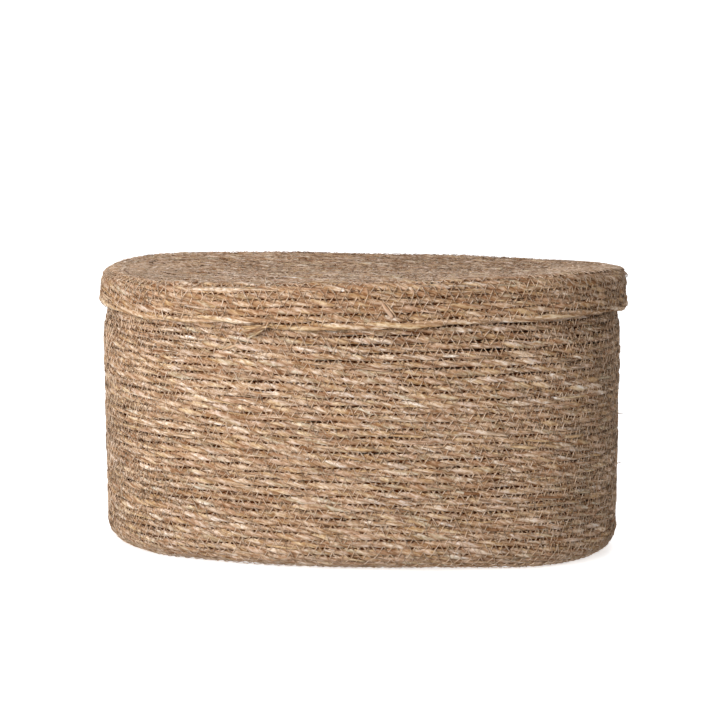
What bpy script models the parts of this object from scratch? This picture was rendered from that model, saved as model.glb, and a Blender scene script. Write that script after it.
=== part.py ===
"""Oval basket of coiled, sewn seagrass cord with a lift-off lid. Metres, +Z up, long axis on X."""
import math

import bmesh
import bpy
from mathutils import Vector

# Driving sizes of the body, in metres
SPINE_HALF = 0.120          # half of the straight first run that the coil is wound around
END_RADIUS = 0.095          # spine to the outermost row at the round ends
SIDE_BULGE = 0.020          # how much farther the long sides bow out at the middle
BODY_HEIGHT = 0.2249        # ground to the top of the rim
HEEL_RADIUS = 0.018         # rounding between floor and wall
NECK_INSET = 0.0036         # how far the neck stands in from the wall, so that the lid fits over it
NECK_TAPER = 0.022          # height over which the wall draws in to the neck
TAIL_ROOM = 0.003           # straight neck kept below the lid's hanging cord end

# Driving sizes of the cord
CORD_PITCH = 0.0061         # one sewn row
CORD_THICKNESS = 0.0058     # through the wall
ROW_RELIEF = 0.0014         # depth of the groove between two rows

# Driving sizes of the lid
LID_CLEARANCE = 0.001       # free space all round between neck and skirt
LID_EDGE_RADIUS = 0.010     # rounding between crown and skirt
SKIRT_DEPTH = 0.034         # top of the crown to the lower edge of the skirt
CROWN_DISH = 0.003          # how far the middle of the crown lies below its edge
EDGE_PROUD = 0.0006         # how far the last turn stands out from the skirt
TAIL_DROP = 0.004           # how far the cord's free end hangs below the edge
TAIL_REACH = 0.5            # share of the first step over which the free end bends down

# Fits
SEW_GAP = 0.0003            # space left between neighbouring nodes
BUTT_GAP = 0.0013           # space between the two ends of a single turn
WELD = 0.000001             # vertices closer than this are one vertex

# Fineness of the mesh
END_STEPS = 8               # steps round each end
SIDE_STEPS = 6              # steps along each long side
SEAM_STEP = 1               # step of the front side where every coil starts and ends
ARC_STEPS = 12              # fine steps of a rounded meridian
BACK_STEPS = 4              # steps of a curved plain back
TUBE_RESOLUTION = 1         # roundness of a single turn

# Sizes that follow
STATIONS = 2 * (END_STEPS + SIDE_STEPS)
CORD_RADIUS = CORD_THICKNESS / 2
NECK_RADIUS = END_RADIUS - NECK_INSET
LID_RADIUS = NECK_RADIUS + LID_CLEARANCE + CORD_THICKNESS
LID_SEAT = BODY_HEIGHT + SEW_GAP
SKIRT_EDGE = LID_SEAT + CORD_THICKNESS - SKIRT_DEPTH
NECK_FOOT = SKIRT_EDGE - TAIL_DROP - TAIL_ROOM
WALL_TOP = NECK_FOOT - NECK_TAPER
UP = (0.0, 1.0)             # ways a face can look in a meridian, reach and height
OUT = (1.0, 0.0)


def outline(reach, station):
    """Point of the turn that lies this far from the spine; stations run round from the front seam."""
    half, step = divmod((station + SEAM_STEP) % STATIONS, SIDE_STEPS + END_STEPS)
    bulge = SIDE_BULGE * reach / END_RADIUS
    if reach == 0:
        x, y = SPINE_HALF * min(1.0, 2 * step / SIDE_STEPS - 1), 0.0
    else:
        # A flat side arc runs into the end arc with no kink at the angle called lean
        drop = (SPINE_HALF ** 2 - bulge ** 2) / (2 * bulge)
        lean = math.atan2(drop, SPINE_HALF)
        if step < SIDE_STEPS:
            turn = lean - math.pi + (math.pi - 2 * lean) * step / SIDE_STEPS
            sweep = math.hypot(SPINE_HALF, drop) + reach
            x, y = sweep * math.cos(turn), drop + sweep * math.sin(turn)
        else:
            turn = lean * (2 * (step - SIDE_STEPS) / END_STEPS - 1)
            x, y = SPINE_HALF + reach * math.cos(turn), reach * math.sin(turn)
    return (-x, -y) if half else (x, y)


def turn_shares():
    """Share of one turn that is done at each station, by length."""
    points = [Vector(outline(END_RADIUS, station)) for station in range(STATIONS + 1)]
    lengths = [0.0]
    for before, after in zip(points, points[1:]):
        lengths.append(lengths[-1] + (after - before).length)
    return [length / lengths[-1] for length in lengths]


def straight(first, last, out):
    """Straight meridian between two spots (reach, height), facing one way."""
    return [(Vector(first), Vector(out)), (Vector(last), Vector(out))]


def arc(centre, radius, first, last):
    """Meridian along an arc, facing away from its centre."""
    path = []
    for step in range(ARC_STEPS + 1):
        turn = first + (last - first) * step / ARC_STEPS
        out = Vector((math.cos(turn), math.sin(turn)))
        path.append((Vector(centre) + out * radius, out))
    return path


def stretches(path):
    """Length of each stretch of a meridian."""
    return [(after[0] - before[0]).length for before, after in zip(path, path[1:])]


def along(path, run):
    """Spot of a meridian after this length of it, and the way its face looks there."""
    lengths = stretches(path)
    index = 0
    while run > lengths[index] and index < len(lengths) - 1:
        run -= lengths[index]
        index += 1
    share = run / lengths[index]
    (spot, out), (next_spot, next_out) = path[index], path[index + 1]
    return spot.lerp(next_spot, share), out.lerp(next_out, share).normalized()


def new_object(name, mesh, home, material):
    """Object of a finished mesh, hung on its empty, with its own material."""
    mesh.materials.append(material)
    for face in mesh.polygons:
        face.use_smooth = True
    piece = bpy.data.objects.new(name, mesh)
    PARTS.objects.link(piece)
    piece.parent = home
    return piece


def coil_shell(name, path, rising, home, material):
    """Closed shell: sewn rows that run round as one spiral on the face, a plain back."""
    length = sum(stretches(path))
    turns = max(1, round(length / CORD_PITCH))
    pitch = length / turns
    lines = 2 * (turns + 1)
    from_spine = path[0][0].x == 0
    back_steps = BACK_STEPS if len(path) > 2 else 1

    def below(run, depth):
        spot, out = along(path, run)
        return spot - out * depth

    def face_point(line, station):
        share = SHARES[station] if rising else 1 - SHARES[station]
        run = pitch * (line / 2 - 1 + share)
        crest = 0.0
        if line % 2:
            crest = max(0.0, min(1.0, 2 * run / pitch, 2 * (length - run) / pitch))
        return below(min(max(run, 0.0), length), ROW_RELIEF * (1 - crest))

    def back_point(step):
        return below(length * (back_steps - step) / back_steps, CORD_THICKNESS)

    # A plate that starts at the spine closes there by itself; a ring is closed back to its first line
    count = lines + 1 + back_steps + 1 + (0 if from_spine else 1)
    mesh = bpy.data.meshes.new(name)
    work = bmesh.new()
    bmesh.ops.create_grid(work, x_segments=STATIONS, y_segments=count - 1, size=1.0)
    ordered = sorted(work.verts, key=lambda vert: (round(vert.co.y, 5), round(vert.co.x, 5)))
    for index, vert in enumerate(ordered):
        line, station = divmod(index, STATIONS + 1)
        if line <= lines:
            spot = face_point(line, station)
        elif line <= lines + 1 + back_steps:
            spot = back_point(line - lines - 1)
        else:
            spot = face_point(0, station)
        x, y = outline(spot.x, station)
        vert.co = (x, y, spot.y)
    bmesh.ops.remove_doubles(work, verts=work.verts, dist=WELD)
    bmesh.ops.triangulate(work, faces=work.faces)
    bmesh.ops.recalc_face_normals(work, faces=work.faces)
    work.to_mesh(mesh)
    work.free()
    print(name, "rows", turns, "pitch mm", round(pitch * 1000, 2), "triangles", len(mesh.polygons))
    return new_object(name, mesh, home, material)


def single_turn(name, reach, height, tail, home, material):
    """One turn of cord as a round tube whose two ends stay apart; the first end may hang down."""
    points = [Vector((*outline(reach, station), height)) for station in range(STATIONS + 1)]
    points[-1] += (points[-2] - points[-1]).normalized() * BUTT_GAP
    if tail:
        points.insert(1, points[0].lerp(points[1], TAIL_REACH))
        points[0].z -= tail
    curve = bpy.data.curves.new(name, "CURVE")
    curve.dimensions = "3D"
    curve.bevel_depth = CORD_RADIUS
    curve.bevel_resolution = TUBE_RESOLUTION
    curve.use_fill_caps = True
    spline = curve.splines.new("POLY")
    spline.points.add(len(points) - 1)
    for target, point in zip(spline.points, points):
        target.co = (*point, 1.0)
    draft = bpy.data.objects.new(name + "_path", curve)
    PARTS.objects.link(draft)
    bpy.context.view_layer.update()
    mesh = bpy.data.meshes.new_from_object(draft.evaluated_get(bpy.context.evaluated_depsgraph_get()))
    mesh.name = name
    bpy.data.objects.remove(draft)
    work = bmesh.new()
    work.from_mesh(mesh)
    bmesh.ops.remove_doubles(work, verts=work.verts, dist=WELD)
    bmesh.ops.triangulate(work, faces=work.faces)
    bmesh.ops.recalc_face_normals(work, faces=work.faces)
    near = [vert.co for vert in work.verts if (vert.co - points[0]).length < CORD_THICKNESS]
    first = [spot for spot in near if (spot - points[0]).dot(points[1] - points[0]) > -WELD]
    last = [spot for spot in near if (spot - points[0]).dot(points[1] - points[0]) < -WELD]
    gap = min((one - other).length for one in first for other in last)
    work.to_mesh(mesh)
    work.free()
    print(name, "least gap to itself mm", round(gap * 1000, 2))
    return new_object(name, mesh, home, material)


def seagrass(name, colour, roughness):
    """Dry plant fibre."""
    material = bpy.data.materials.new(name)
    material.use_nodes = True
    shader = material.node_tree.nodes["Principled BSDF"]
    shader.inputs["Base Color"].default_value = (*colour, 1.0)
    shader.inputs["Roughness"].default_value = roughness
    shader.inputs["Metallic"].default_value = 0.0
    return material


# Empty scene
for old in list(bpy.data.objects):
    bpy.data.objects.remove(old)
PARTS = bpy.data.collections.new("coiled_basket")
bpy.context.scene.collection.children.link(PARTS)
SHARES = turn_shares()

# Empties that the two bodies hang on; the lid's stands on its seat
basket = bpy.data.objects.new("basket", None)
lid = bpy.data.objects.new("lid", None)
lid.location = (0.0, 0.0, LID_SEAT)
for empty in (basket, lid):
    PARTS.objects.link(empty)

# Floor, flat below, rows on its upper face
floor_edge = END_RADIUS - HEEL_RADIUS - SEW_GAP
floor_path = straight((0.0, CORD_THICKNESS), (floor_edge, CORD_THICKNESS), UP)
coil_shell("floor_coil", floor_path, True, basket, seagrass("floor_seagrass", (0.34, 0.22, 0.13), 0.85))

# Rounded foot of the wall
heel_path = arc((END_RADIUS - HEEL_RADIUS, HEEL_RADIUS), HEEL_RADIUS, -math.pi / 2, 0.0)
coil_shell("heel_turns", heel_path, True, basket, seagrass("heel_seagrass", (0.36, 0.23, 0.14), 0.85))

# Upright wall
wall_path = straight((END_RADIUS, HEEL_RADIUS + SEW_GAP), (END_RADIUS, WALL_TOP), OUT)
coil_shell("wall_coil", wall_path, True, basket, seagrass("wall_seagrass", (0.40, 0.26, 0.16), 0.85))

# Neck, drawn in under the lid
neck_path = []
for step in range(ARC_STEPS + 1):
    part = step / ARC_STEPS
    draw = NECK_INSET * (1 - math.cos(math.pi * part)) / 2
    height = WALL_TOP + SEW_GAP + (NECK_TAPER - SEW_GAP) * part
    neck_path.append((Vector((END_RADIUS - draw, height)), Vector(OUT)))
neck_path.append((Vector((NECK_RADIUS, BODY_HEIGHT - CORD_THICKNESS - SEW_GAP)), Vector(OUT)))
coil_shell("neck_turns", neck_path, True, basket, seagrass("neck_seagrass", (0.37, 0.24, 0.15), 0.85))

# Last turn of the body
single_turn("rim_turn", NECK_RADIUS - CORD_RADIUS, BODY_HEIGHT - CORD_RADIUS, 0.0, basket,
            seagrass("rim_seagrass", (0.38, 0.25, 0.15), 0.85))

# Crown, heights counted from the seat
crown_edge = LID_RADIUS - LID_EDGE_RADIUS - SEW_GAP
crown_path = []
for step in range(ARC_STEPS + 1):
    part = step / ARC_STEPS
    dish = CROWN_DISH * (1 - part * part)
    crown_path.append((Vector((crown_edge * part, CORD_THICKNESS - dish)), Vector(UP)))
coil_shell("crown_coil", crown_path, False, lid, seagrass("crown_seagrass", (0.33, 0.23, 0.15), 0.9))

# Rounded edge of the lid
bend_centre = (LID_RADIUS - LID_EDGE_RADIUS, CORD_THICKNESS - LID_EDGE_RADIUS)
shoulder_path = arc(bend_centre, LID_EDGE_RADIUS, math.pi / 2, 0.0)
coil_shell("shoulder_turns", shoulder_path, False, lid, seagrass("shoulder_seagrass", (0.37, 0.25, 0.15), 0.85))

# Skirt
skirt_top = bend_centre[1] - SEW_GAP
skirt_foot = 2 * CORD_THICKNESS - SKIRT_DEPTH + SEW_GAP
skirt_path = straight((LID_RADIUS, skirt_top), (LID_RADIUS, skirt_foot), OUT)
coil_shell("skirt_coil", skirt_path, False, lid, seagrass("skirt_seagrass", (0.38, 0.24, 0.15), 0.85))

# Last turn of the lid with the cord's hanging end
single_turn("edge_turn", LID_RADIUS + EDGE_PROUD - CORD_RADIUS, CORD_THICKNESS + CORD_RADIUS - SKIRT_DEPTH,
            TAIL_DROP, lid, seagrass("edge_seagrass", (0.45, 0.30, 0.16), 0.8))
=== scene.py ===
import math
import bpy
import numpy as np
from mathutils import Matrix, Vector


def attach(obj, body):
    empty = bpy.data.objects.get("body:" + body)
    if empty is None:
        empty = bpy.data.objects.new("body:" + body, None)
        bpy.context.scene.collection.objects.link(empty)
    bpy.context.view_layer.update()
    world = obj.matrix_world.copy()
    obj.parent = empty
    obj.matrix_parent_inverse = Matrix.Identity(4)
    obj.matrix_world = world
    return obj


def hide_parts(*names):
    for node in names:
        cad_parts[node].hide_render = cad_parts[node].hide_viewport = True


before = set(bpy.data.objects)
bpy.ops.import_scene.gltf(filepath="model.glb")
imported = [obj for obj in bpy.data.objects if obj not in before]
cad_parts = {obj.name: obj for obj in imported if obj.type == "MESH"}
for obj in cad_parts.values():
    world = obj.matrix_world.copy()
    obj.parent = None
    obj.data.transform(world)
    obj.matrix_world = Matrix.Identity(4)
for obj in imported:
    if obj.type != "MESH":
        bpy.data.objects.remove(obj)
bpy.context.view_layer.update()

print("frame loaded, nodes:", len(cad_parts))


# plain tools

def deselectAll():
    bpy.ops.object.select_all(action="DESELECT")


def pick(thing):
    deselectAll()
    thing.select_set(True)
    bpy.context.view_layer.objects.active = thing


def softNoise(places, spacing, seed):
    # smooth random value, about -1 to 1, along a length
    knots = np.random.default_rng(seed).uniform(-1, 1, int(places[-1] / spacing) + 4)
    spot = places / spacing
    low = spot.astype(int)
    ease = (1 - np.cos(np.pi * (spot - low))) / 2
    return knots[low] * (1 - ease) + knots[low + 1] * ease


def smoothStep(values, start, end):
    share = np.clip((values - start) / (end - start), 0, 1)
    return share * share * (3 - 2 * share)


def unit(vectors):
    return vectors / np.linalg.norm(vectors, axis=-1, keepdims=True)


# the oval that every turn follows, and how the rows step from spine to rim

oval = {
    "spineHalf": 0.120,     # half of the straight first run
    "endRadius": 0.095,     # spine to the outermost row
    "sideBulge": 0.020,     # bow of the long sides
    "sideShare": 0.5657,    # share of half a turn that is long side
}

cordSizes = {
    "pitch": 0.0061,        # one sewn row
    "radius": 0.0029,
    "ringStep": 0.0030,     # distance of two rings of vertices
    "samples": 900,         # samples of one turn before it is stepped out evenly
    "wander": 0.00042,      # sideways drift of the cord in its row
    "plies": 3,
    "lay": 0.057,           # length in which the strands turn once round each other
    "layDrift": 0.3,
    "helix": 0.00148,       # strand centre to cord centre
    "thin": 0.00142,        # half thickness of a strand, towards the cord's middle
    "wide": 0.00200,        # half width of a strand
    "swell": 0.12,          # thick and thin stretches of one strand
    "pinch": 0.15,          # thick and thin stretches of the whole cord
    "ridge": 0.00026,       # blades that stand up or lie low
    "ridgeStep": 0.009,
    "square": 0.24,         # rows pressed flat by the sewing, with narrow gaps
    "taper": 0.032,         # length of the thin end
    "endThin": 0.5,
    "endSink": 0.0010,
    "coreThin": 0.0011,     # inner blades that fill the cord
    "coreWide": 0.0044,
    "coreBack": 0.0007,     # in the last row it lies nearer to the row before
}


def ovalTurn(reach, share):
    # point of the turn at this reach, and the way out from it; share runs round from the front left
    reach = np.maximum(reach, 1e-5)
    spine = oval["spineHalf"]
    bulge = oval["sideBulge"] * reach / oval["endRadius"]
    drop = (spine ** 2 - bulge ** 2) / (2 * bulge)
    lean = np.arctan2(drop, spine)
    half = np.floor((share % 1.0) * 2)
    part = (share % 1.0) * 2 - half
    onSide = part < oval["sideShare"]
    sideTurn = lean - np.pi + (np.pi - 2 * lean) * part / oval["sideShare"]
    endTurn = lean * (2 * (part - oval["sideShare"]) / (1 - oval["sideShare"]) - 1)
    sweep = np.hypot(spine, drop) + reach
    x = np.where(onSide, sweep * np.cos(sideTurn), spine + reach * np.cos(endTurn))
    y = np.where(onSide, drop + sweep * np.sin(sideTurn), reach * np.sin(endTurn))
    aim = np.where(onSide, sideTurn, endTurn)
    flip = 1 - 2 * half
    return flip * x, flip * y, flip * np.cos(aim), flip * np.sin(aim)


def meridian(stations):
    # stations are (reach, height, out, up) of the outer face; gives lengths and columns to read between
    table = np.array(stations)
    steps = np.hypot(np.diff(table[:, 0]), np.diff(table[:, 1]))
    return np.concatenate([[0.0], np.cumsum(steps)]), table


def bend(centre, radius, first, last, count=24):
    turns = np.linspace(first, last, count)
    return [(centre[0] + radius * math.cos(t), centre[1] + radius * math.sin(t), math.cos(t), math.sin(t))
            for t in turns]


settling = {
    "wave": 0.0007,         # rows that rise and fall together
    "crimp": 0.0045,        # left end of the lid, pressed in at the top
    "curl": 0.0070,         # and turned up at its edge
    "flare": 0.0030,        # right end of the lid, bent out at its edge
    "flareLift": 0.0024,
    "footLift": 0.0015,     # front and left of the foot, a little off the floor
    "hump": 0.0013,         # back of the lid
}


def rowWave(share, height):
    turn = 2 * np.pi * share
    return settling["wave"] * (np.sin(5 * turn + 70 * height) + 0.7 * np.sin(11 * turn - 150 * height + 1.3)
                               + 0.5 * np.sin(23 * turn + 240 * height + 0.4)) / 1.4


def settle(x, y, z, onLid):
    # the lid has sagged and twisted a little in use, and the neck under it with it
    u, v = x / 0.215, y / 0.215
    lift = (2.26 * u - 4.78 * v - 10.44 * u * v + 1.51 * u * u) / 1000
    lift = lift + settling["hump"] * np.exp(-((x - 0.085) / 0.05) ** 2) * smoothStep(y, 0.03, 0.11)
    below = np.clip((0.231 - z) / 0.034, 0, 1)
    left, right = smoothStep(-x, 0.12, 0.215), smoothStep(x, 0.14, 0.215)
    shift = settling["crimp"] * left * (1 - below) ** 1.6
    if onLid:
        lift = lift + (settling["curl"] * left + settling["flareLift"] * right) * below ** 2
        return shift + settling["flare"] * right * below ** 2, lift
    fade = smoothStep(z, 0.150, 0.225)
    front = np.exp(-((x - 0.05) / 0.09) ** 2) * smoothStep(-y, 0.05, 0.11)
    foot = settling["footLift"] * np.maximum(front, smoothStep(-x, 0.14, 0.21)) * (1 - smoothStep(z, 0.01, 0.06))
    return shift * fade, lift * fade + foot


def windCord(path, turns, shareAt, onLid, seed, shift):
    # one cord wound row by row along a meridian, stepped out evenly by length; shift closes the first two runs up
    lengths, table = path
    count = np.linspace(turns[0], turns[1], int((turns[1] - turns[0]) * cordSizes["samples"]))
    run = lengths[-1] / turns[1] * np.maximum(count + shift * (1 - smoothStep(count, 1, 7)), 0)
    reach, height, out, up = (np.interp(run, lengths, table[:, column]) for column in range(4))
    slim = np.hypot(out, up)
    out, up = out / slim, up / slim
    reach = np.maximum(reach - out * cordSizes["radius"], 0.0)
    height = height - up * cordSizes["radius"]
    x, y, outX, outY = ovalTurn(reach, shareAt(count))
    shift, lift = settle(x, y, height, onLid)
    centre = np.stack([x + shift, y, height + lift], 1)
    facing = np.stack([outX * out, outY * out, up], 1)
    far = np.concatenate([[0.0], np.cumsum(np.linalg.norm(np.diff(centre, axis=0), axis=1))])
    even = np.linspace(0, far[-1], int(far[-1] / cordSizes["ringStep"]))
    centre = np.stack([np.interp(even, far, centre[:, axis]) for axis in range(3)], 1)
    facing = unit(np.stack([np.interp(even, far, facing[:, axis]) for axis in range(3)], 1))
    onward = unit(np.gradient(centre, axis=0))
    facing = unit(facing - onward * np.sum(facing * onward, 1, keepdims=True))
    across = np.cross(facing, onward)
    turn = np.interp(even, far, count)
    drift = softNoise(even, 0.057, seed + 1) * cordSizes["wander"] + rowWave(shareAt(turn), turn * cordSizes["pitch"])
    centre = centre + facing * (softNoise(even, 0.041, seed) * cordSizes["wander"])[:, None]
    ending = smoothStep(even, even[-1] - cordSizes["taper"], even[-1])      # the cord's end thins out into its row
    centre = centre + across * (drift - cordSizes["endSink"] * ending)[:, None]
    return {"thinning": 1 - cordSizes["endThin"] * ending, "far": even, "turn": turn, "share": shareAt(turn) % 1.0, "centre": centre, "onward": onward,
            "facing": facing, "across": across, "turns": turns[1], "seed": seed}


# blade colours of dry seagrass, in linear light, with how often each is met

bladeColours = {
    "honey": ((0.50, 0.325, 0.175), 0.13),
    "straw": ((0.53, 0.355, 0.225), 0.30),
    "rosy": ((0.45, 0.275, 0.17), 0.22),
    "greyPink": ((0.45, 0.30, 0.20), 0.14),
    "greyGreen": ((0.40, 0.285, 0.175), 0.08),
    "cream": ((0.60, 0.44, 0.31), 0.045),
    "brown": ((0.27, 0.14, 0.07), 0.06),
}
coreShadeColour = (0.11, 0.028, 0.004)      # painted shade: near-black inside of the cord, seen in the gaps between strands and rows
flankShade = 0.70                       # painted shade on the grass between the strands of a cord
creviceShade = 0.74                     # painted shade on the grass deep between the rows
warmth = (1.0, 1.48, 2.05)              # darker grass is browner, paler grass is greyer


def toned(level):
    return np.asarray(level)[..., None] ** np.array(warmth)


def palette(names=None):
    names = names or list(bladeColours)
    odds = np.array([bladeColours[name][1] for name in names])
    return np.array([bladeColours[name][0] for name in names]), odds / odds.sum()


def bladeTints(far, lines, seed, run=(0.005, 0.034), names=None):
    # each line of vertices belongs to a blade, and blades give way to others along the strand
    dice = np.random.default_rng(seed)
    colours, odds = palette(names)
    tints = np.zeros((len(far), lines, 3))
    for line in range(lines):
        spot = -dice.uniform(0, 0.03)
        while spot < far[-1]:
            reach = dice.uniform(*run)
            here = slice(*np.searchsorted(far, [spot, spot + reach]))
            tint = colours[dice.choice(len(colours), p=odds)]
            tints[here, line] = tint * toned(dice.uniform(0.87, 1.13))
            spot += reach
    tints *= toned(1 + 0.07 * softNoise(far, 0.35, seed + 900) + 0.14 * softNoise(far, 0.010, seed + 950))[:, None, :]
    # painted shade on the lines that face into the cord, and a slight painted highlight on the lines that face out
    outward = np.cos(2 * np.pi * (np.arange(lines) + 0.5) / lines)
    tints *= toned(flankShade + (1.05 - flankShade) * smoothStep(outward, -0.5, 0.9))
    return tints * toned(dice.uniform(0.92, 1.08, (len(far), lines)))


# shader groups

def fibreGroup():
    # lengthwise streaks of a plant fibre: place is the spot in the strand's own measure
    group = bpy.data.node_groups.new("fibreStreaks", "ShaderNodeTree")
    face = group.interface
    face.new_socket("Place", in_out="INPUT", socket_type="NodeSocketVector")
    face.new_socket("Along", in_out="INPUT", socket_type="NodeSocketFloat").default_value = 60.0
    face.new_socket("Across", in_out="INPUT", socket_type="NodeSocketFloat").default_value = 1900.0
    face.new_socket("Tint", in_out="INPUT", socket_type="NodeSocketColor")
    face.new_socket("Contrast", in_out="INPUT", socket_type="NodeSocketFloat").default_value = 0.5
    face.new_socket("Color", in_out="OUTPUT", socket_type="NodeSocketColor")
    face.new_socket("Streak", in_out="OUTPUT", socket_type="NodeSocketFloat")
    face.new_socket("Roughness", in_out="OUTPUT", socket_type="NodeSocketFloat")
    nodes, links = group.nodes, group.links
    inner = nodes.new("NodeGroupInput")
    outer = nodes.new("NodeGroupOutput")
    stretch = nodes.new("ShaderNodeCombineXYZ")
    links.new(inner.outputs["Along"], stretch.inputs["X"])
    links.new(inner.outputs["Across"], stretch.inputs["Y"])
    links.new(inner.outputs["Across"], stretch.inputs["Z"])
    scaled = nodes.new("ShaderNodeVectorMath")
    scaled.operation = "MULTIPLY"
    links.new(inner.outputs["Place"], scaled.inputs[0])
    links.new(stretch.outputs["Vector"], scaled.inputs[1])
    fine = nodes.new("ShaderNodeTexNoise")
    fine.inputs["Scale"].default_value = 1.0
    fine.inputs["Detail"].default_value = 3.0
    fine.inputs["Roughness"].default_value = 0.6
    links.new(scaled.outputs["Vector"], fine.inputs["Vector"])
    broad = nodes.new("ShaderNodeTexNoise")
    broad.inputs["Scale"].default_value = 0.22
    broad.inputs["Detail"].default_value = 2.0
    links.new(scaled.outputs["Vector"], broad.inputs["Vector"])
    spread = nodes.new("ShaderNodeMapRange")
    spread.inputs["From Min"].default_value = 0.3
    spread.inputs["From Max"].default_value = 0.7
    links.new(fine.outputs["Fac"], spread.inputs["Value"])
    shade = nodes.new("ShaderNodeMapRange")      # light or dark by streak
    shade.inputs["To Min"].default_value = -1.0
    links.new(spread.outputs["Result"], shade.inputs["Value"])
    weigh = nodes.new("ShaderNodeMath")
    weigh.operation = "MULTIPLY_ADD"
    weigh.inputs[2].default_value = 1.0
    links.new(shade.outputs["Result"], weigh.inputs[0])
    links.new(inner.outputs["Contrast"], weigh.inputs[1])
    patch = nodes.new("ShaderNodeMapRange")      # slow change over a hand's breadth
    patch.inputs["From Min"].default_value = 0.3
    patch.inputs["From Max"].default_value = 0.7
    patch.inputs["To Min"].default_value = 0.84
    patch.inputs["To Max"].default_value = 1.14
    links.new(broad.outputs["Fac"], patch.inputs["Value"])
    both = nodes.new("ShaderNodeMath")
    both.operation = "MULTIPLY"
    links.new(weigh.outputs["Value"], both.inputs[0])
    links.new(patch.outputs["Result"], both.inputs[1])
    speckSize = nodes.new("ShaderNodeVectorMath")
    speckSize.operation = "MULTIPLY"
    speckSize.inputs[1].default_value = (260.0, 620.0, 620.0)
    links.new(inner.outputs["Place"], speckSize.inputs[0])
    specks = nodes.new("ShaderNodeTexNoise")     # broken ends and worn spots
    specks.inputs["Scale"].default_value = 1.0
    specks.inputs["Detail"].default_value = 1.0
    links.new(speckSize.outputs["Vector"], specks.inputs["Vector"])
    speckLevel = nodes.new("ShaderNodeMapRange")
    speckLevel.inputs["From Min"].default_value = 0.32
    speckLevel.inputs["From Max"].default_value = 0.68
    speckLevel.inputs["To Min"].default_value = 0.72
    speckLevel.inputs["To Max"].default_value = 1.27
    links.new(specks.outputs["Fac"], speckLevel.inputs["Value"])
    allLevels = nodes.new("ShaderNodeMath")
    allLevels.operation = "MULTIPLY"
    links.new(both.outputs["Value"], allLevels.inputs[0])
    links.new(speckLevel.outputs["Result"], allLevels.inputs[1])
    level = nodes.new("ShaderNodeMath")
    level.operation = "MINIMUM"
    level.inputs[1].default_value = 1.22
    links.new(allLevels.outputs["Value"], level.inputs[0])
    toneOf = nodes.new("ShaderNodeCombineXYZ")   # dark streaks are browner, pale ones greyer
    for axis, power in zip("XYZ", warmth):
        raised = nodes.new("ShaderNodeMath")
        raised.operation = "POWER"
        raised.inputs[1].default_value = power
        links.new(level.outputs["Value"], raised.inputs[0])
        links.new(raised.outputs["Value"], toneOf.inputs[axis])
    stain = nodes.new("ShaderNodeVectorMath")
    stain.operation = "MULTIPLY"
    links.new(inner.outputs["Tint"], stain.inputs[0])
    links.new(toneOf.outputs["Vector"], stain.inputs[1])
    dull = nodes.new("ShaderNodeMapRange")
    dull.inputs["To Min"].default_value = 0.92
    dull.inputs["To Max"].default_value = 0.62
    links.new(spread.outputs["Result"], dull.inputs["Value"])
    links.new(stain.outputs["Vector"], outer.inputs["Color"])
    links.new(spread.outputs["Result"], outer.inputs["Streak"])
    links.new(dull.outputs["Result"], outer.inputs["Roughness"])
    return group


def fibreMaterial(name, group, along, across, contrast, bumpHeight, gloss):
    material = bpy.data.materials.new(name)
    material.use_nodes = True
    nodes, links = material.node_tree.nodes, material.node_tree.links
    shader = nodes["Principled BSDF"]
    shader.inputs["Specular IOR Level"].default_value = gloss
    place = nodes.new("ShaderNodeAttribute")
    place.attribute_name = "strandPlace"
    tint = nodes.new("ShaderNodeAttribute")
    tint.attribute_name = "bladeTint"
    streaks = nodes.new("ShaderNodeGroup")
    streaks.node_tree = group
    streaks.inputs["Along"].default_value = along
    streaks.inputs["Across"].default_value = across
    streaks.inputs["Contrast"].default_value = contrast
    links.new(place.outputs["Vector"], streaks.inputs["Place"])
    links.new(tint.outputs["Color"], streaks.inputs["Tint"])
    links.new(streaks.outputs["Color"], shader.inputs["Base Color"])
    links.new(streaks.outputs["Roughness"], shader.inputs["Roughness"])
    bump = nodes.new("ShaderNodeBump")
    bump.inputs["Distance"].default_value = bumpHeight
    bump.inputs["Strength"].default_value = 0.8
    links.new(streaks.outputs["Streak"], bump.inputs["Height"])
    links.new(bump.outputs["Normal"], shader.inputs["Normal"])
    return material


fibreStreaks = fibreGroup()
seagrassCord = fibreMaterial("seagrassCord", fibreStreaks, 200.0, 1400.0, 0.32, 0.0004, 0.14)
# material of the painted-shade slivers in the holes, without gloss
holeShadeGrass = fibreMaterial("holeShadeGrass", fibreStreaks, 200.0, 1400.0, 0.2, 0.0002, 0.0)
sewingThread = fibreMaterial("sewingThread", fibreStreaks, 700.0, 2600.0, 0.22, 0.0001, 0.2)
print("materials ready")


# strands: a curve along the path, bevelled with a section drawn once, then made a mesh

def sectionCurve(name, halfX, halfY, sides, power=1.0):
    # clockwise, so that the faces look outwards
    curve = bpy.data.curves.new(name, "CURVE")
    curve.dimensions = "2D"
    spline = curve.splines.new("POLY")
    spline.points.add(sides - 1)
    spline.use_cyclic_u = True
    for index, point in enumerate(spline.points):
        turn = -2 * math.pi * (index + 0.5) / sides
        x, y = math.cos(turn), math.sin(turn)
        point.co = (halfX * math.copysign(abs(x) ** power, x), halfY * math.copysign(abs(y) ** power, y), 0, 1)
    thing = bpy.data.objects.new(name, curve)
    bpy.context.scene.collection.objects.link(thing)
    return thing


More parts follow.
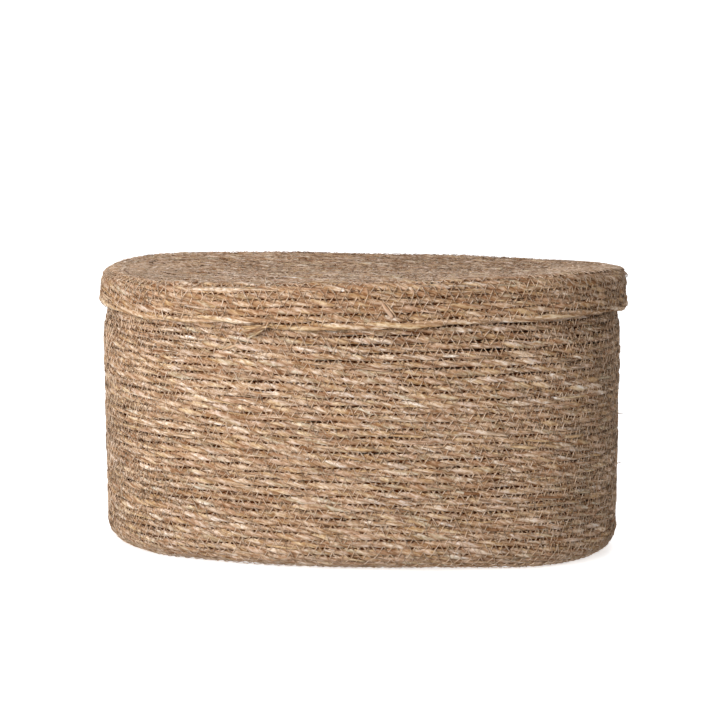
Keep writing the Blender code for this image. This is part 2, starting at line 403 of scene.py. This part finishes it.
def sweep(name, section, paths, radii=None, tilts=None):
    # one mesh of open tubes; rings of vertices follow each other in the order of the paths
    curve = bpy.data.curves.new(name, "CURVE")
    curve.dimensions = "3D"
    curve.twist_mode = "Z_UP"
    curve.bevel_mode = "OBJECT"
    curve.bevel_object = section
    for index, path in enumerate(paths):
        spline = curve.splines.new("POLY")
        spline.points.add(len(path) - 1)
        spline.points.foreach_set("co", np.column_stack([path, np.ones(len(path))]).ravel())
        if radii is not None:
            spline.points.foreach_set("radius", np.ascontiguousarray(radii[index], dtype=float))
        if tilts is not None:
            spline.points.foreach_set("tilt", np.ascontiguousarray(tilts[index], dtype=float))
    thing = bpy.data.objects.new(name, curve)
    bpy.context.scene.collection.objects.link(thing)
    pick(thing)
    bpy.ops.object.convert(target="MESH")
    return bpy.context.object


def closeEnds(thing):
    pick(thing)
    bpy.ops.object.mode_set(mode="EDIT")
    bpy.ops.mesh.select_all(action="SELECT")
    bpy.ops.mesh.fill_holes(sides=0)
    bpy.ops.object.mode_set(mode="OBJECT")
    bpy.ops.object.shade_smooth()


def paint(thing, tints, places, material):
    mesh = thing.data
    colour = mesh.color_attributes.new("bladeTint", "FLOAT_COLOR", "POINT")
    colour.data.foreach_set("color", np.column_stack([tints, np.ones(len(tints))]).astype(np.float32).ravel())
    place = mesh.attributes.new("strandPlace", "FLOAT_VECTOR", "POINT")
    place.data.foreach_set("vector", places.astype(np.float32).ravel())
    mesh.materials.clear()
    mesh.materials.append(material)


def tiltTo(path, facing):
    # tilt that turns the section's x axis towards facing, for a curve that twists from Z up
    steps = unit(np.diff(path, axis=0))
    onward = np.vstack([steps[:1], unit(steps[1:] + steps[:-1]), steps[-1:]])
    right = unit(np.cross(onward, np.array([0.0, 0.0, 1.0])))
    above = np.cross(right, onward)
    return -np.arctan2(np.sum(facing * above, 1), np.sum(facing * right, 1))


strandSides = 6
strandSection = sectionCurve("strandSection", cordSizes["thin"], cordSizes["wide"], strandSides, 0.9)
coreSides = 4
coreSection = sectionCurve("coreSection", cordSizes["coreThin"], cordSizes["coreWide"], coreSides)


def twistStrands(cord, slack=1.0):
    # the strands of a cord, twisted so that they slant down to the right
    sizes, far, seed = cordSizes, cord["far"], cord["seed"]
    quicken = (1 + sizes["layDrift"] * softNoise(far, 0.16, seed + 2)) * slack
    turn = -2 * np.pi * np.cumsum(np.gradient(far) * quicken) / sizes["lay"]
    pinch = (1 + sizes["pinch"] * softNoise(far, 0.0085, seed + 11)) * cord["thinning"]
    strands = []
    for number in range(sizes["plies"]):
        angle = turn + 2 * np.pi * number / sizes["plies"] + 0.25 * softNoise(far, 0.05, seed + 3 + number)
        outward = cord["facing"] * np.cos(angle)[:, None] + cord["across"] * np.sin(angle)[:, None]
        ridges = np.stack([softNoise(far, sizes["ridgeStep"], seed + 200 + 10 * number + line)
                           for line in range(strandSides)], 1)
        strands.append({
            "path": cord["centre"] + outward * (sizes["helix"] * pinch)[:, None],
            "outward": outward,
            "radius": pinch * (1 + sizes["swell"] * softNoise(far, 0.035, seed + 7 + number)),
            "ridges": ridges * sizes["ridge"],
            "tints": bladeTints(far, strandSides, seed + 17 + number),
        })
    return strands


def cordPiece(name, cord, strands, firstTurn, lastTurn, body, *nodes):
    # the stretch of cord between two turns, as one piece
    here = np.flatnonzero((cord["turn"] >= firstTurn) & (cord["turn"] <= lastTurn))
    here = np.arange(here[0], min(here[-1] + 2, len(cord["far"])))
    paths = [strand["path"][here] for strand in strands]
    tilts = [tiltTo(path, strand["outward"][here]) for path, strand in zip(paths, strands)]
    piece = sweep(name, strandSection, paths, [strand["radius"][here] for strand in strands], tilts)
    spots = np.zeros(len(piece.data.vertices) * 3)
    piece.data.vertices.foreach_get("co", spots)
    spots = spots.reshape(len(strands), len(here), strandSides, 3)
    middle = np.stack(paths)[:, :, None, :]
    away = spots - middle
    lift = np.stack([strand["ridges"][here] for strand in strands])[..., None]
    spots = spots + unit(away) * lift
    here3 = [cord[part][here][:, None, :] for part in ("centre", "across", "facing")]
    sideways, outwards = (np.sum((spots - here3[0]) * way, -1, keepdims=True) for way in here3[1:])
    corner = (2 * sideways * outwards / (sideways ** 2 + outwards ** 2)) ** 2 * cordSizes["square"]
    spots = spots + (here3[1] * sideways + here3[2] * outwards) * corner
    spots[..., 2] = np.maximum(spots[..., 2], 0.0001)      # worn flat where the basket stands
    piece.data.vertices.foreach_set("co", spots.ravel())
    # painted shade deep in the seams between the rows, varying along the cord, and a slight painted highlight on the
    # crests
    deep = creviceShade + 0.24 * softNoise(cord["far"], 0.06, cord["seed"] + 70)[here][:, None]
    creviceShadeLevel = deep + (1.06 - deep) * smoothStep(np.abs(outwards[..., 0]), 0.0, 0.0012)
    tints = (np.stack([strand["tints"][here] for strand in strands]) * toned(creviceShadeLevel)).reshape(-1, 3)
    last = cord["turn"][here] > cord["turns"] - 1
    around = 2 * np.pi * (np.arange(strandSides) + 0.5) / strandSides
    places = np.zeros((len(strands), len(here), strandSides, 3))
    places[..., 0] = cord["far"][here][None, :, None]
    places[..., 1] = cordSizes["wide"] * np.cos(around) + 0.05 * np.arange(len(strands))[:, None, None]
    places[..., 2] = cordSizes["wide"] * np.sin(around)
    paint(piece, tints, places.reshape(-1, 3), seagrassCord)
    closeEnds(piece)
    # the heart of the cord reaches its neighbours, so that no light comes through; it is painted near black, as the
    # shade seen in the gaps
    some = here[::2]
    inner = cord["centre"][some] - cord["across"][some] * np.where(last[::2], cordSizes["coreBack"], 0.0)[:, None]
    core = sweep(name + "Core", coreSection, [inner], [np.where(last[::2], 0.82, 1.0) * cord["thinning"][some]],
                 [tiltTo(inner, cord["facing"][some])])
    places = np.zeros((len(some), coreSides, 3))
    places[..., 0] = cord["far"][some][:, None]
    places[..., 1] = 0.1 + np.arange(coreSides) * 0.001
    shade = 1 + 0.4 * softNoise(cord["far"][some], 0.02, cord["seed"] + 60)
    paint(core, np.array(coreShadeColour) * np.repeat(shade, coreSides)[:, None], places.reshape(-1, 3), seagrassCord)
    closeEnds(core)
    pick(piece)
    core.select_set(True)
    bpy.ops.object.join()
    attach(piece, body)
    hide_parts(*nodes)
    print(name, "cord m", round(float(cord["far"][here[-1]] - cord["far"][here[0]]), 2),
          "faces", len(piece.data.polygons))
    return piece


def readCord(cord, column, far):
    return np.stack([np.interp(far, cord["far"], cord[column][:, axis]) for axis in range(3)], 1)


# sewing: a zigzag over each seam between two rows, outside and inside

sewing = {
    "stitch": 0.0088,       # one zigzag, there and back
    "endGain": 0.36,        # stitches are closer round the ends
    "jitter": 0.30,
    "reach": 0.0045,        # how far it runs on to each row
    "rise": 0.0031,         # height over the cord's middle
    "dip": 0.0020,          # height where it goes into the row
    "sink": 0.0003,         # stitches that are drawn into the cord
    "radius": 0.00033,
    "colour": (0.64, 0.455, 0.315),
    "sides": 3,
    "bends": {1: (0.0, 0.2, 0.8), -1: (0.1, 0.9)},      # where a stitch bends, outside and inside
}
threadSection = sectionCurve("threadSection", sewing["radius"], sewing["radius"], sewing["sides"])


def sewRows(name, cord, firstTurn, lastTurn, side, seed, body, seam=cordSizes["pitch"] / 2):
    dice = np.random.default_rng(seed)
    ends = np.interp([firstTurn, lastTurn], cord["turn"], cord["far"])
    closer = 1 - sewing["endGain"] * smoothStep(np.abs(cord["centre"][:, 0]), 0.11, 0.17)
    passed = np.cumsum(np.gradient(cord["far"]) / (sewing["stitch"] / 2 * closer))
    first, last = np.interp(ends, cord["far"], passed)
    marks = np.arange(math.ceil(first), last)
    marks = marks + sewing["jitter"] * dice.uniform(-1, 1, len(marks))
    far = np.interp(marks, passed, cord["far"])
    zigzag = np.where(np.arange(len(far)) % 2, 1.0, -1.0) * sewing["reach"] * dice.uniform(0.65, 1.2, len(far))
    pulls = far[:-1] + np.diff(far) * zigzag[:-1] / (zigzag[:-1] - zigzag[1:])
    # each stitch comes out of one row, lies over both and goes into the next
    marks = np.arange(len(far))[:, None] + np.array(sewing["bends"][side])
    marks = marks[marks <= len(far) - 1]
    rise = np.where(np.abs(marks - np.round(marks)) < 0.05, sewing["dip"], sewing["rise"])
    zigzag, far = np.interp(marks, np.arange(len(far)), zigzag), np.interp(marks, np.arange(len(far)), far)
    rise = side * (rise + sewing["sink"] * softNoise(far, 0.03, seed + 2))
    path = (readCord(cord, "centre", far) + readCord(cord, "across", far) * (seam + zigzag)[:, None]
            + readCord(cord, "facing", far) * rise[:, None])
    path[:, 2] = np.maximum(path[:, 2], 0.0006)
    piece = sweep(name, threadSection, [path])
    sides = sewing["sides"]
    around = 2 * np.pi * np.arange(sides) / sides
    places = np.zeros((len(far), sides, 3))
    places[..., 0] = far[:, None]
    places[..., 1] = sewing["radius"] * np.cos(around)
    places[..., 2] = sewing["radius"] * np.sin(around)
    shade = np.repeat(0.9 + 0.18 * softNoise(far, 0.03, seed + 1), sides)[:, None]
    paint(piece, np.array(sewing["colour"]) * shade, places.reshape(-1, 3), sewingThread)
    closeEnds(piece)
    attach(piece, body)
    print(name, "stitches", len(pulls) // 2, "faces", len(piece.data.polygons))
    return pulls


# body: floor, rounded foot, wall, neck and rim are one cord

bodyShape = {
    "height": 0.2249,
    "heel": 0.018,
    "wallTop": 0.174,
    "neckFoot": 0.196,
    "neckInset": 0.0036,
    "seam": 0.047,          # share of a turn where the first row starts
    "seed": 40,
}

heelCentre = (oval["endRadius"] - bodyShape["heel"], bodyShape["heel"])
bodyStations = [(0.0, 0.0, 0.0, -1.0)] + bend(heelCentre, bodyShape["heel"], -math.pi / 2, 0.0)
for share in np.linspace(0, 1, 16):
    draw = bodyShape["neckInset"] * (1 - math.cos(math.pi * share)) / 2
    height = bodyShape["wallTop"] + (bodyShape["neckFoot"] - bodyShape["wallTop"]) * share
    bodyStations.append((oval["endRadius"] - draw, height, 1.0, 0.0))
bodyStations.append((oval["endRadius"] - bodyShape["neckInset"],
                     bodyShape["height"] - cordSizes["radius"], 1.0, 0.0))
bodyPath = meridian(bodyStations)
bodyTurns = round(bodyPath[0][-1] / cordSizes["pitch"])
perRow = bodyPath[0][-1] / bodyTurns


def bodyShare(turn):
    return bodyShape["seam"] + turn


def turnAt(path, turns, column, value):
    # turn at which the meridian first reaches this reach or height
    lengths, table = path
    return turns * float(np.interp(value, table[:, column], lengths)) / lengths[-1]


bodyCord = windCord(bodyPath, (-bodyShape["seam"], bodyTurns), bodyShare, False, bodyShape["seed"], 0.155)
print("body cord, turns", bodyTurns, "length m", round(float(bodyCord["far"][-1]), 2))
bodyStrands = twistStrands(bodyCord)
floorEnd = (oval["endRadius"] - bodyShape["heel"]) / perRow
heelEnd = floorEnd + bodyShape["heel"] * math.pi / 2 / perRow
wallEnd = heelEnd + (bodyShape["wallTop"] - bodyShape["heel"]) / perRow
wallThird = (wallEnd - heelEnd) / 3
cordPiece("floorCord", bodyCord, bodyStrands, -1, floorEnd, "basket", "floor_coil")
cordPiece("heelCord", bodyCord, bodyStrands, floorEnd, heelEnd, "basket", "heel_turns")
for part, label in enumerate(("Low", "Middle", "High")):
    cordPiece("wallCord" + label, bodyCord, bodyStrands, heelEnd + wallThird * part,
              heelEnd + wallThird * (part + 1), "basket", "wall_coil")
cordPiece("neckCord", bodyCord, bodyStrands, wallEnd, bodyTurns - 1, "basket", "neck_turns")
cordPiece("rimCord", bodyCord, bodyStrands, bodyTurns - 1, bodyTurns, "basket", "rim_turn")
sewRows("footThreadOutside", bodyCord, 0.3, heelEnd - 2, 1, 71, "basket")
bodyPulls = sewRows("wallThreadOutside", bodyCord, heelEnd - 2, bodyTurns - 1, 1, 73, "basket")
sewRows("bodyThreadInside", bodyCord, 0.3, bodyTurns - 1, -1, 72, "basket")
for label, side in (("Outside", 1), ("Inside", -1)):
    sewRows("floorSpine" + label, bodyCord, -0.04, 0.24, side, 74 + side, "basket", -cordSizes["pitch"] / 2)

# lid: crown, rounded edge and skirt are one cord that ends in a loose tail

lidShape = {
    "reach": 0.0982,
    "top": 0.2310,
    "edge": 0.010,
    "dish": 0.003,
    "foot": 0.1969,         # middle of the last row at the cord's end
    "tail": 0.0826,         # share of a turn where the cord ends
    "seed": 140,
}

edgeCentre = (lidShape["reach"] - lidShape["edge"], lidShape["top"] - lidShape["edge"])
lidStations = [(edgeCentre[0] * share, lidShape["top"] - lidShape["dish"] * (1 - share ** 2), 0.0, 1.0)
               for share in np.linspace(0, 1, 20)]
lidStations += bend(edgeCentre, lidShape["edge"], math.pi / 2, 0.0)
lidStations.append((lidShape["reach"], lidShape["foot"], 1.0, 0.0))
lidPath = meridian(lidStations)
lidTurns = lidPath[0][-1] / cordSizes["pitch"]


def lidShare(turn):
    return lidShape["tail"] + lidTurns - turn


lidCord = windCord(lidPath, (0.29, lidTurns), lidShare, True, lidShape["seed"], -0.18)
print("lid cord, turns", round(lidTurns, 2), "length m", round(float(lidCord["far"][-1]), 2))
lidSlack = 1 - 0.5 * smoothStep(lidCord["turn"], lidTurns - 1.05, lidTurns - 0.95)
lidStrands = twistStrands(lidCord, lidSlack)
# painted shade: the blades of the lid's skirt are darkened towards its lower rows
skirtShade = 1 - 0.13 * smoothStep(lidCord["turn"], lidTurns - 6, lidTurns - 4)
bareRow = lidCord["turn"] > lidTurns - 1.02      # the last row has long pale blades
for number, strand in enumerate(lidStrands):
    strand["tints"] *= toned(skirtShade)[:, None, :]
    strand["tints"][bareRow] = bladeTints(lidCord["far"], strandSides, lidShape["seed"] + 80 + number, (0.03, 0.09),
                                          ["honey", "straw"])[bareRow]
crownEnd = edgeCentre[0] / cordSizes["pitch"]
shoulderEnd = crownEnd + lidShape["edge"] * math.pi / 2 / cordSizes["pitch"]
cordPiece("crownCord", lidCord, lidStrands, 0, crownEnd, "lid", "crown_coil")
cordPiece("shoulderCord", lidCord, lidStrands, crownEnd, shoulderEnd, "lid", "shoulder_turns")
cordPiece("skirtCord", lidCord, lidStrands, shoulderEnd, lidTurns - 1, "lid", "skirt_coil")
cordPiece("edgeCord", lidCord, lidStrands, lidTurns - 1, lidTurns, "lid", "edge_turn")
lidPulls = sewRows("lidThreadOutside", lidCord, 0.3, lidTurns - 1, 1, 171, "lid")
sewRows("lidThreadInside", lidCord, 0.3, lidTurns - 1, -1, 172, "lid")
for label, side in (("Outside", 1), ("Inside", -1)):
    sewRows("crownSpine" + label, lidCord, 0.3, 0.57, side, 174 + side, "lid", -cordSizes["pitch"] / 2)

# loose blades, stray fibres and the frayed end

bladeSection = sectionCurve("bladeSection", 0.00014, 0.0010, 6)
slipSection = sectionCurve("slipSection", 0.0006, 0.0009, 3)
fibreSection = sectionCurve("fibreSection", 0.00010, 0.00010, 3)


looseGrass = {
    # slips that lie on the rows
    "slips": {"length": (0.004, 0.014), "middle": (-0.003, 0.003), "slant": (0.0008, 0.0012), "steps": 4,
              "top": (0.0026, 0.0030), "tip": (-0.0006, -0.0006), "width": (0.25, 0.6), "shade": (0.66, 1.14)},
    # slips that bridge the seam between two rows
    "seamSlips": {"length": (0.005, 0.014), "middle": (0.0024, 0.0037), "slant": (0.0003, 0.0005), "steps": 4,
                  "top": (0.0018, 0.0026), "tip": (-0.0006, -0.0006), "width": (0.4, 0.9), "shade": (0.66, 1.1)},
    # grass that each stitch draws over the seam, so that a small hole stays between two stitches
    "pulls": {"length": (0.0018, 0.0036), "middle": (0.0027, 0.0034), "slant": (0.0002, 0.0004), "steps": 3,
              "top": (0.0022, 0.0029), "tip": (-0.0003, -0.0003), "width": (0.8, 1.3), "shade": (0.78, 1.05)},
    # painted shade: near-black slivers in the seams, seen as the holes
    "holes": {"length": (0.0018, 0.0046), "middle": (0.0026, 0.0035), "slant": (0.0001, 0.0003), "steps": 3,
              "top": (0.0022, 0.0027), "tip": (-0.0006, -0.0006), "width": (0.45, 0.90), "shade": (0.8, 1.2),
              "colour": (0.056, 0.012, 0.0015)},
    # blades that have come loose
    "blades": {"length": (0.012, 0.042), "middle": (-0.0026, 0.0026), "slant": (0.0014, 0.0006), "steps": 8,
               "top": (0.0029, 0.0033), "tip": (-0.0009, 0.0006), "width": (0.55, 1.2), "shade": (0.85, 1.15)},
    # stray fibres
    "fibres": {"length": (0.003, 0.014), "middle": (-0.003, 0.003), "slant": (0.0, 0.0016), "steps": 5,
               "top": (0.0030, 0.0042), "tip": (-0.0004, 0.0024), "width": (0.7, 1.3), "shade": (0.8, 1.2)},
}


def scatter(cord, kind, seed, turns=None, count=None, spots=None):
    # loose grass of one kind, at random or at given spots along the cord
    dice, looks = np.random.default_rng(seed), looseGrass[kind]
    if spots is None:
        spots = dice.uniform(*np.interp(turns, cord["turn"], cord["far"]), count)
    count = len(spots)
    length, middle, top, tip, width, shade = (dice.uniform(*looks[part], count) for part in
                                              ("length", "middle", "top", "tip", "width", "shade"))
    slant = dice.normal(*looks["slant"], count)
    colours, odds = palette()
    picked = colours[dice.choice(len(colours), count, p=odds)]
    if "colour" in looks:
        picked = np.tile(np.array(looks["colour"]), (count, 1))
    return {"far": spots - length / 2, "length": length, "steps": looks["steps"],
            "across": np.stack([middle + slant, middle - slant], 1), "curl": dice.uniform(-0.0005, 0.0005, count),
            "heights": np.stack([top - 0.0006, top, top + tip], 1), "width": width, "colour": picked * toned(shade)}


def placeBlades(name, cord, blades, section, sides, body, material=seagrassCord):
    # each blade: where it starts, how far it runs, across at both ends, height at start, middle and end
    share = np.linspace(0, 1, blades["steps"])[None, :]
    count, steps = len(blades["far"]), blades["steps"]
    far = blades["far"][:, None] + blades["length"][:, None] * share
    first, last = blades["across"][:, :1], blades["across"][:, 1:]
    side = first + (last - first) * share + blades["curl"][:, None] * np.sin(np.pi * share)
    low, high, end = (blades["heights"][:, part:part + 1] for part in range(3))
    height = low * (1 - share) ** 2 + 2 * (2 * high - (low + end) / 2) * share * (1 - share) + end * share ** 2
    facing = readCord(cord, "facing", far.ravel())
    path = (readCord(cord, "centre", far.ravel()) + readCord(cord, "across", far.ravel()) * side.reshape(-1, 1)
            + facing * height.reshape(-1, 1))
    # past the cord's end a blade runs straight on
    path = path + cord["onward"][-1] * np.clip(far - cord["far"][-1], 0, None).reshape(-1, 1)
    path[:, 2] = np.maximum(path[:, 2], 0.0015)
    paths, facing = path.reshape(count, steps, 3), facing.reshape(count, steps, 3)
    taper = 0.25 + 0.75 * np.sin(np.pi * np.clip(share * 0.92 + 0.06, 0, 1)) ** 0.6
    tilts = [tiltTo(one, way) for one, way in zip(paths, facing)]
    piece = sweep(name, section, paths, blades["width"][:, None] * taper, tilts)
    fade = 1 + 0.1 * np.sin(share * 9 + np.arange(count)[:, None])
    tints = np.repeat((blades["colour"][:, None, :] * fade[..., None]).reshape(-1, 3), sides, 0)
    around = 2 * np.pi * np.arange(sides) / sides
    places = np.zeros((count, steps, sides, 3))
    places[..., 0] = far[..., None]
    places[..., 1] = 0.2 + 0.01 * np.arange(count)[:, None, None] + 0.001 * np.cos(around)
    places[..., 2] = 0.001 * np.sin(around)
    paint(piece, tints, places.reshape(-1, 3), material)
    closeEnds(piece)
    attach(piece, body)
    print(name, "count", count, "faces", len(piece.data.polygons))
    return piece


bodyOuter, lidOuter = (floorEnd + 1, bodyTurns - 1), (1, lidTurns - 1)
placeBlades("bodyPulls", bodyCord, scatter(bodyCord, "pulls", 309, spots=bodyPulls), slipSection, 3, "basket")
placeBlades("lidPulls", lidCord, scatter(lidCord, "pulls", 310, spots=lidPulls), slipSection, 3, "lid")


def between(pulls, share, seed):
    # some of the middles between two stitches
    middles = np.sort((pulls[1:] + pulls[:-1]) / 2)
    chance = share * (1 + softNoise(middles, 0.05, seed + 10))
    return middles[np.random.default_rng(seed).random(len(middles)) < chance]


# painted shade: near-black slivers between some stitches, where the holes in the seam are
placeBlades("bodyHoleShades", bodyCord, scatter(bodyCord, "holes", 311, spots=between(bodyPulls, 0.46, 321)),
            slipSection, 3, "basket", holeShadeGrass)
placeBlades("lidHoleShades", lidCord, scatter(lidCord, "holes", 312, spots=between(lidPulls, 0.46, 322)),
            slipSection, 3, "lid", holeShadeGrass)
for kind, seed, bodyCount, lidCount, section, sides in (("seamSlips", 301, 1500, 500, slipSection, 3),
                                                        ("slips", 302, 3000, 1100, slipSection, 3),
                                                        ("blades", 303, 420, 150, bladeSection, 6),
                                                        ("fibres", 304, 700, 350, fibreSection, 3)):
    label = kind[0].upper() + kind[1:]
    placeBlades("body" + label, bodyCord, scatter(bodyCord, kind, seed, bodyOuter, bodyCount),
                section, sides, "basket")
    placeBlades("lid" + label, lidCord, scatter(lidCord, kind, seed + 100, lidOuter, lidCount),
                section, sides, "lid")

# blades that stand out by themselves: share of a turn, height, length, fall, width, colour, shade, tip
ownBlades = {
    "body": [
        (0.0043, 0.1880, 0.016, 0.0012, 1.3, "cream", 1.15, -0.0006),
        (0.0056, 0.1704, 0.018, 0.0014, 1.2, "cream", 1.15, -0.0006),
        (0.2177, 0.1749, 0.013, 0.0004, 1.2, "cream", 1.20, -0.0006),
        (0.1529, 0.0996, 0.024, 0.0014, 1.5, "honey", 1.10, -0.0006),
        (0.2738, 0.1037, 0.022, 0.0012, 1.5, "honey", 1.05, -0.0006),
        (0.3143, 0.1069, 0.020, 0.0010, 1.4, "honey", 1.05, -0.0006),
        (0.2332, 0.0631, 0.012, 0.0012, 1.6, "brown", 0.80, -0.0006),
        (0.2375, 0.0662, 0.010, 0.0010, 1.2, "brown", 0.75, -0.0006),
        (0.2522, 0.0338, 0.012, 0.0008, 1.4, "brown", 0.85, -0.0006),
        (0.2876, 0.0334, 0.011, 0.0008, 1.3, "brown", 0.85, -0.0006),
        (0.0550, 0.1795, 0.015, -0.0056, 1.5, "cream", 0.88, -0.0006),
        (0.0520, 0.1780, 0.014, -0.0050, 1.0, "greyGreen", 1.10, -0.0006),
        (0.0570, 0.1822, 0.015, -0.0038, 0.5, "brown", 1.00, -0.0006),
        (0.3788, 0.1168, 0.006, 0.0010, 0.4, "straw", 0.90, 0.0045),
        (0.3825, 0.0694, 0.006, -0.001, 0.4, "straw", 0.90, 0.0040),
    ],
    "lid": [
        (0.0500, 0.2220, 0.052, 0.0006, 1.7, "cream", 1.10, -0.0006),
        (0.1737, 0.2116, 0.0085, 0.0130, 1.9, "rosy", 1.0, -0.0004),
        (0.1752, 0.2100, 0.0070, 0.0100, 0.9, "straw", 0.95, -0.0004),
    ],
    # past the end of the lid's cord: start, length, across at both ends, width, colour, shade, height
    "tail": [
        (-0.006, 0.0235, 0.0002, 0.0010, 1.1, "honey", 0.98, 0.0028),
        (-0.006, 0.0220, 0.0002, 0.0026, 1.1, "honey", 1.02, 0.0030),
        (-0.005, 0.0205, 0.0004, 0.0042, 1.0, "straw", 0.92, 0.0028),
        (-0.005, 0.0200, 0.0006, 0.0058, 0.9, "brown", 1.05, 0.0027),
        (-0.003, 0.0170, 0.0012, 0.0080, 0.9, "greyGreen", 0.92, 0.0026),
        (-0.002, 0.0150, 0.0016, 0.0098, 1.0, "greyGreen", 1.08, 0.0026),
        (-0.0072, 0.0230, -0.0038, 0.0056, 0.6, "brown", 1.10, 0.0036),
    ],
}


def spotOn(cord, share, height):
    apart = np.abs((cord["share"] - share + 0.5) % 1.0 - 0.5)
    return cord["far"][np.argmin(apart ** 2 + (cord["centre"][:, 2] - height) ** 2)]


def chosenBlades(cord, rows):
    spots = np.array([spotOn(cord, row[0], row[1]) for row in rows])
    length, fall, width, shade, tip = (np.array([row[part] for row in rows]) for part in (2, 3, 4, 6, 7))
    colour = np.array([bladeColours[row[5]][0] for row in rows])
    return {"far": spots - length / 2, "length": length, "steps": 8, "curl": np.zeros(len(rows)), "width": width,
            "across": np.stack([fall / 2, -fall / 2], 1), "colour": colour * toned(shade),
            "heights": np.stack([np.full(len(rows), 0.0028), np.full(len(rows), 0.0034), 0.0034 + tip], 1)}


def tailBlades(cord, rows):
    start, length, first, last, width, shade, height = (np.array([row[part] for row in rows])
                                                        for part in (0, 1, 2, 3, 4, 6, 7))
    colour = np.array([bladeColours[row[5]][0] for row in rows])
    return {"far": cord["far"][-1] + start, "length": length, "steps": 10, "curl": 0.12 * (last - first),
            "across": np.stack([first, last], 1), "width": width, "colour": colour * toned(shade),
            "heights": np.stack([height, height, height - 0.0002], 1)}


placeBlades("bodyOwnBlades", bodyCord, chosenBlades(bodyCord, ownBlades["body"]), bladeSection, 6, "basket")
placeBlades("lidOwnBlades", lidCord, chosenBlades(lidCord, ownBlades["lid"]), bladeSection, 6, "lid")
placeBlades("lidTail", lidCord, tailBlades(lidCord, ownBlades["tail"]), bladeSection, 6, "lid")

for section in (strandSection, coreSection, threadSection, bladeSection, slipSection, fibreSection):
    bpy.data.objects.remove(section)

# floor, light and camera

studio = {
    "floorReach": 160.0,
    "floorColour": (0.90, 0.895, 0.89, 1.0),
    "floorGlow": 0.60,      # a lit floor, as on a light table
    "skyStrength": 0.54,
    "skySeen": 1.0,
    # strength, azimuth, height and colour
    "suns": {"backLight": (1.55, 180, 38, (0.95, 0.98, 1.05))},
    "sunAngle": 0.7,
    "fill": {"power": 7.7, "azimuth": -27, "height": 15, "distance": 0.9, "size": 0.7},
}


def lightDirection(azimuth, height):
    turn, lift = math.radians(azimuth), math.radians(height)
    return Vector((math.sin(turn) * math.cos(lift), -math.cos(turn) * math.cos(lift), math.sin(lift)))


deselectAll()
bpy.ops.mesh.primitive_circle_add(vertices=96, radius=studio["floorReach"], fill_type="NGON", location=(0, 0, 0))
floor = bpy.context.object
floor.name = "studioFloor"
paleFloor = bpy.data.materials.new("paleFloor")
paleFloor.use_nodes = True
floorShader = paleFloor.node_tree.nodes["Principled BSDF"]
floorShader.inputs["Base Color"].default_value = studio["floorColour"]
floorShader.inputs["Roughness"].default_value = 0.9
floorShader.inputs["Emission Color"].default_value = (1.0, 1.0, 1.0, 1.0)
floorShader.inputs["Emission Strength"].default_value = studio["floorGlow"]
floor.data.materials.append(paleFloor)
floor.visible_diffuse = False       # the light comes evenly from all round, also from below
floor.visible_shadow = False

world = bpy.data.worlds.new("studioSky")
world.use_nodes = True
skyNodes, skyLinks = world.node_tree.nodes, world.node_tree.links
seenSky = skyNodes.new("ShaderNodeLightPath")
skyLevel = skyNodes.new("ShaderNodeMapRange")
skyLevel.inputs["To Min"].default_value = studio["skyStrength"]
skyLevel.inputs["To Max"].default_value = studio["skySeen"]
skyLinks.new(seenSky.outputs["Is Camera Ray"], skyLevel.inputs["Value"])
skyNodes["Background"].inputs["Color"].default_value = (1.0, 1.0, 1.0, 1.0)
skyLinks.new(skyLevel.outputs["Result"], skyNodes["Background"].inputs["Strength"])
bpy.context.scene.world = world

for label, (strength, azimuth, height, colour) in studio["suns"].items():
    bpy.ops.object.light_add(type="SUN", location=lightDirection(azimuth, height) * 2)
    sun = bpy.context.object
    sun.name = label
    sun.data.energy = strength
    sun.data.color = colour
    sun.data.angle = studio["sunAngle"]
    sun.rotation_euler = lightDirection(azimuth, height).to_track_quat("Z", "Y").to_euler()

fill = studio["fill"]
fillFrom = lightDirection(fill["azimuth"], fill["height"])
bpy.ops.object.light_add(type="AREA", location=Vector((0, 0, 0.12)) + fillFrom * fill["distance"])
fillLight = bpy.context.object
fillLight.name = "fillLight"
fillLight.data.shape = "DISK"
fillLight.data.size = fill["size"]
fillLight.data.energy = fill["power"]
fillLight.rotation_euler = fillFrom.to_track_quat("Z", "Y").to_euler()
fillLight.visible_camera = False

view = {
    "from": (0.1851, -1.6873, 0.4540),
    "at": (0.0, 0.0, 0.1155),
    "lens": 103.05,
    "shiftY": 0.0607,
}

bpy.ops.object.camera_add(location=view["from"])
camera = bpy.context.object
camera.name = "photoCamera"
camera.rotation_euler = (Vector(view["from"]) - Vector(view["at"])).to_track_quat("Z", "Y").to_euler()
camera.data.lens = view["lens"]
camera.data.sensor_width = 36.0
camera.data.shift_y = view["shiftY"]
bpy.context.scene.camera = camera
bpy.context.scene.view_settings.view_transform = "Standard"
print("studio ready")
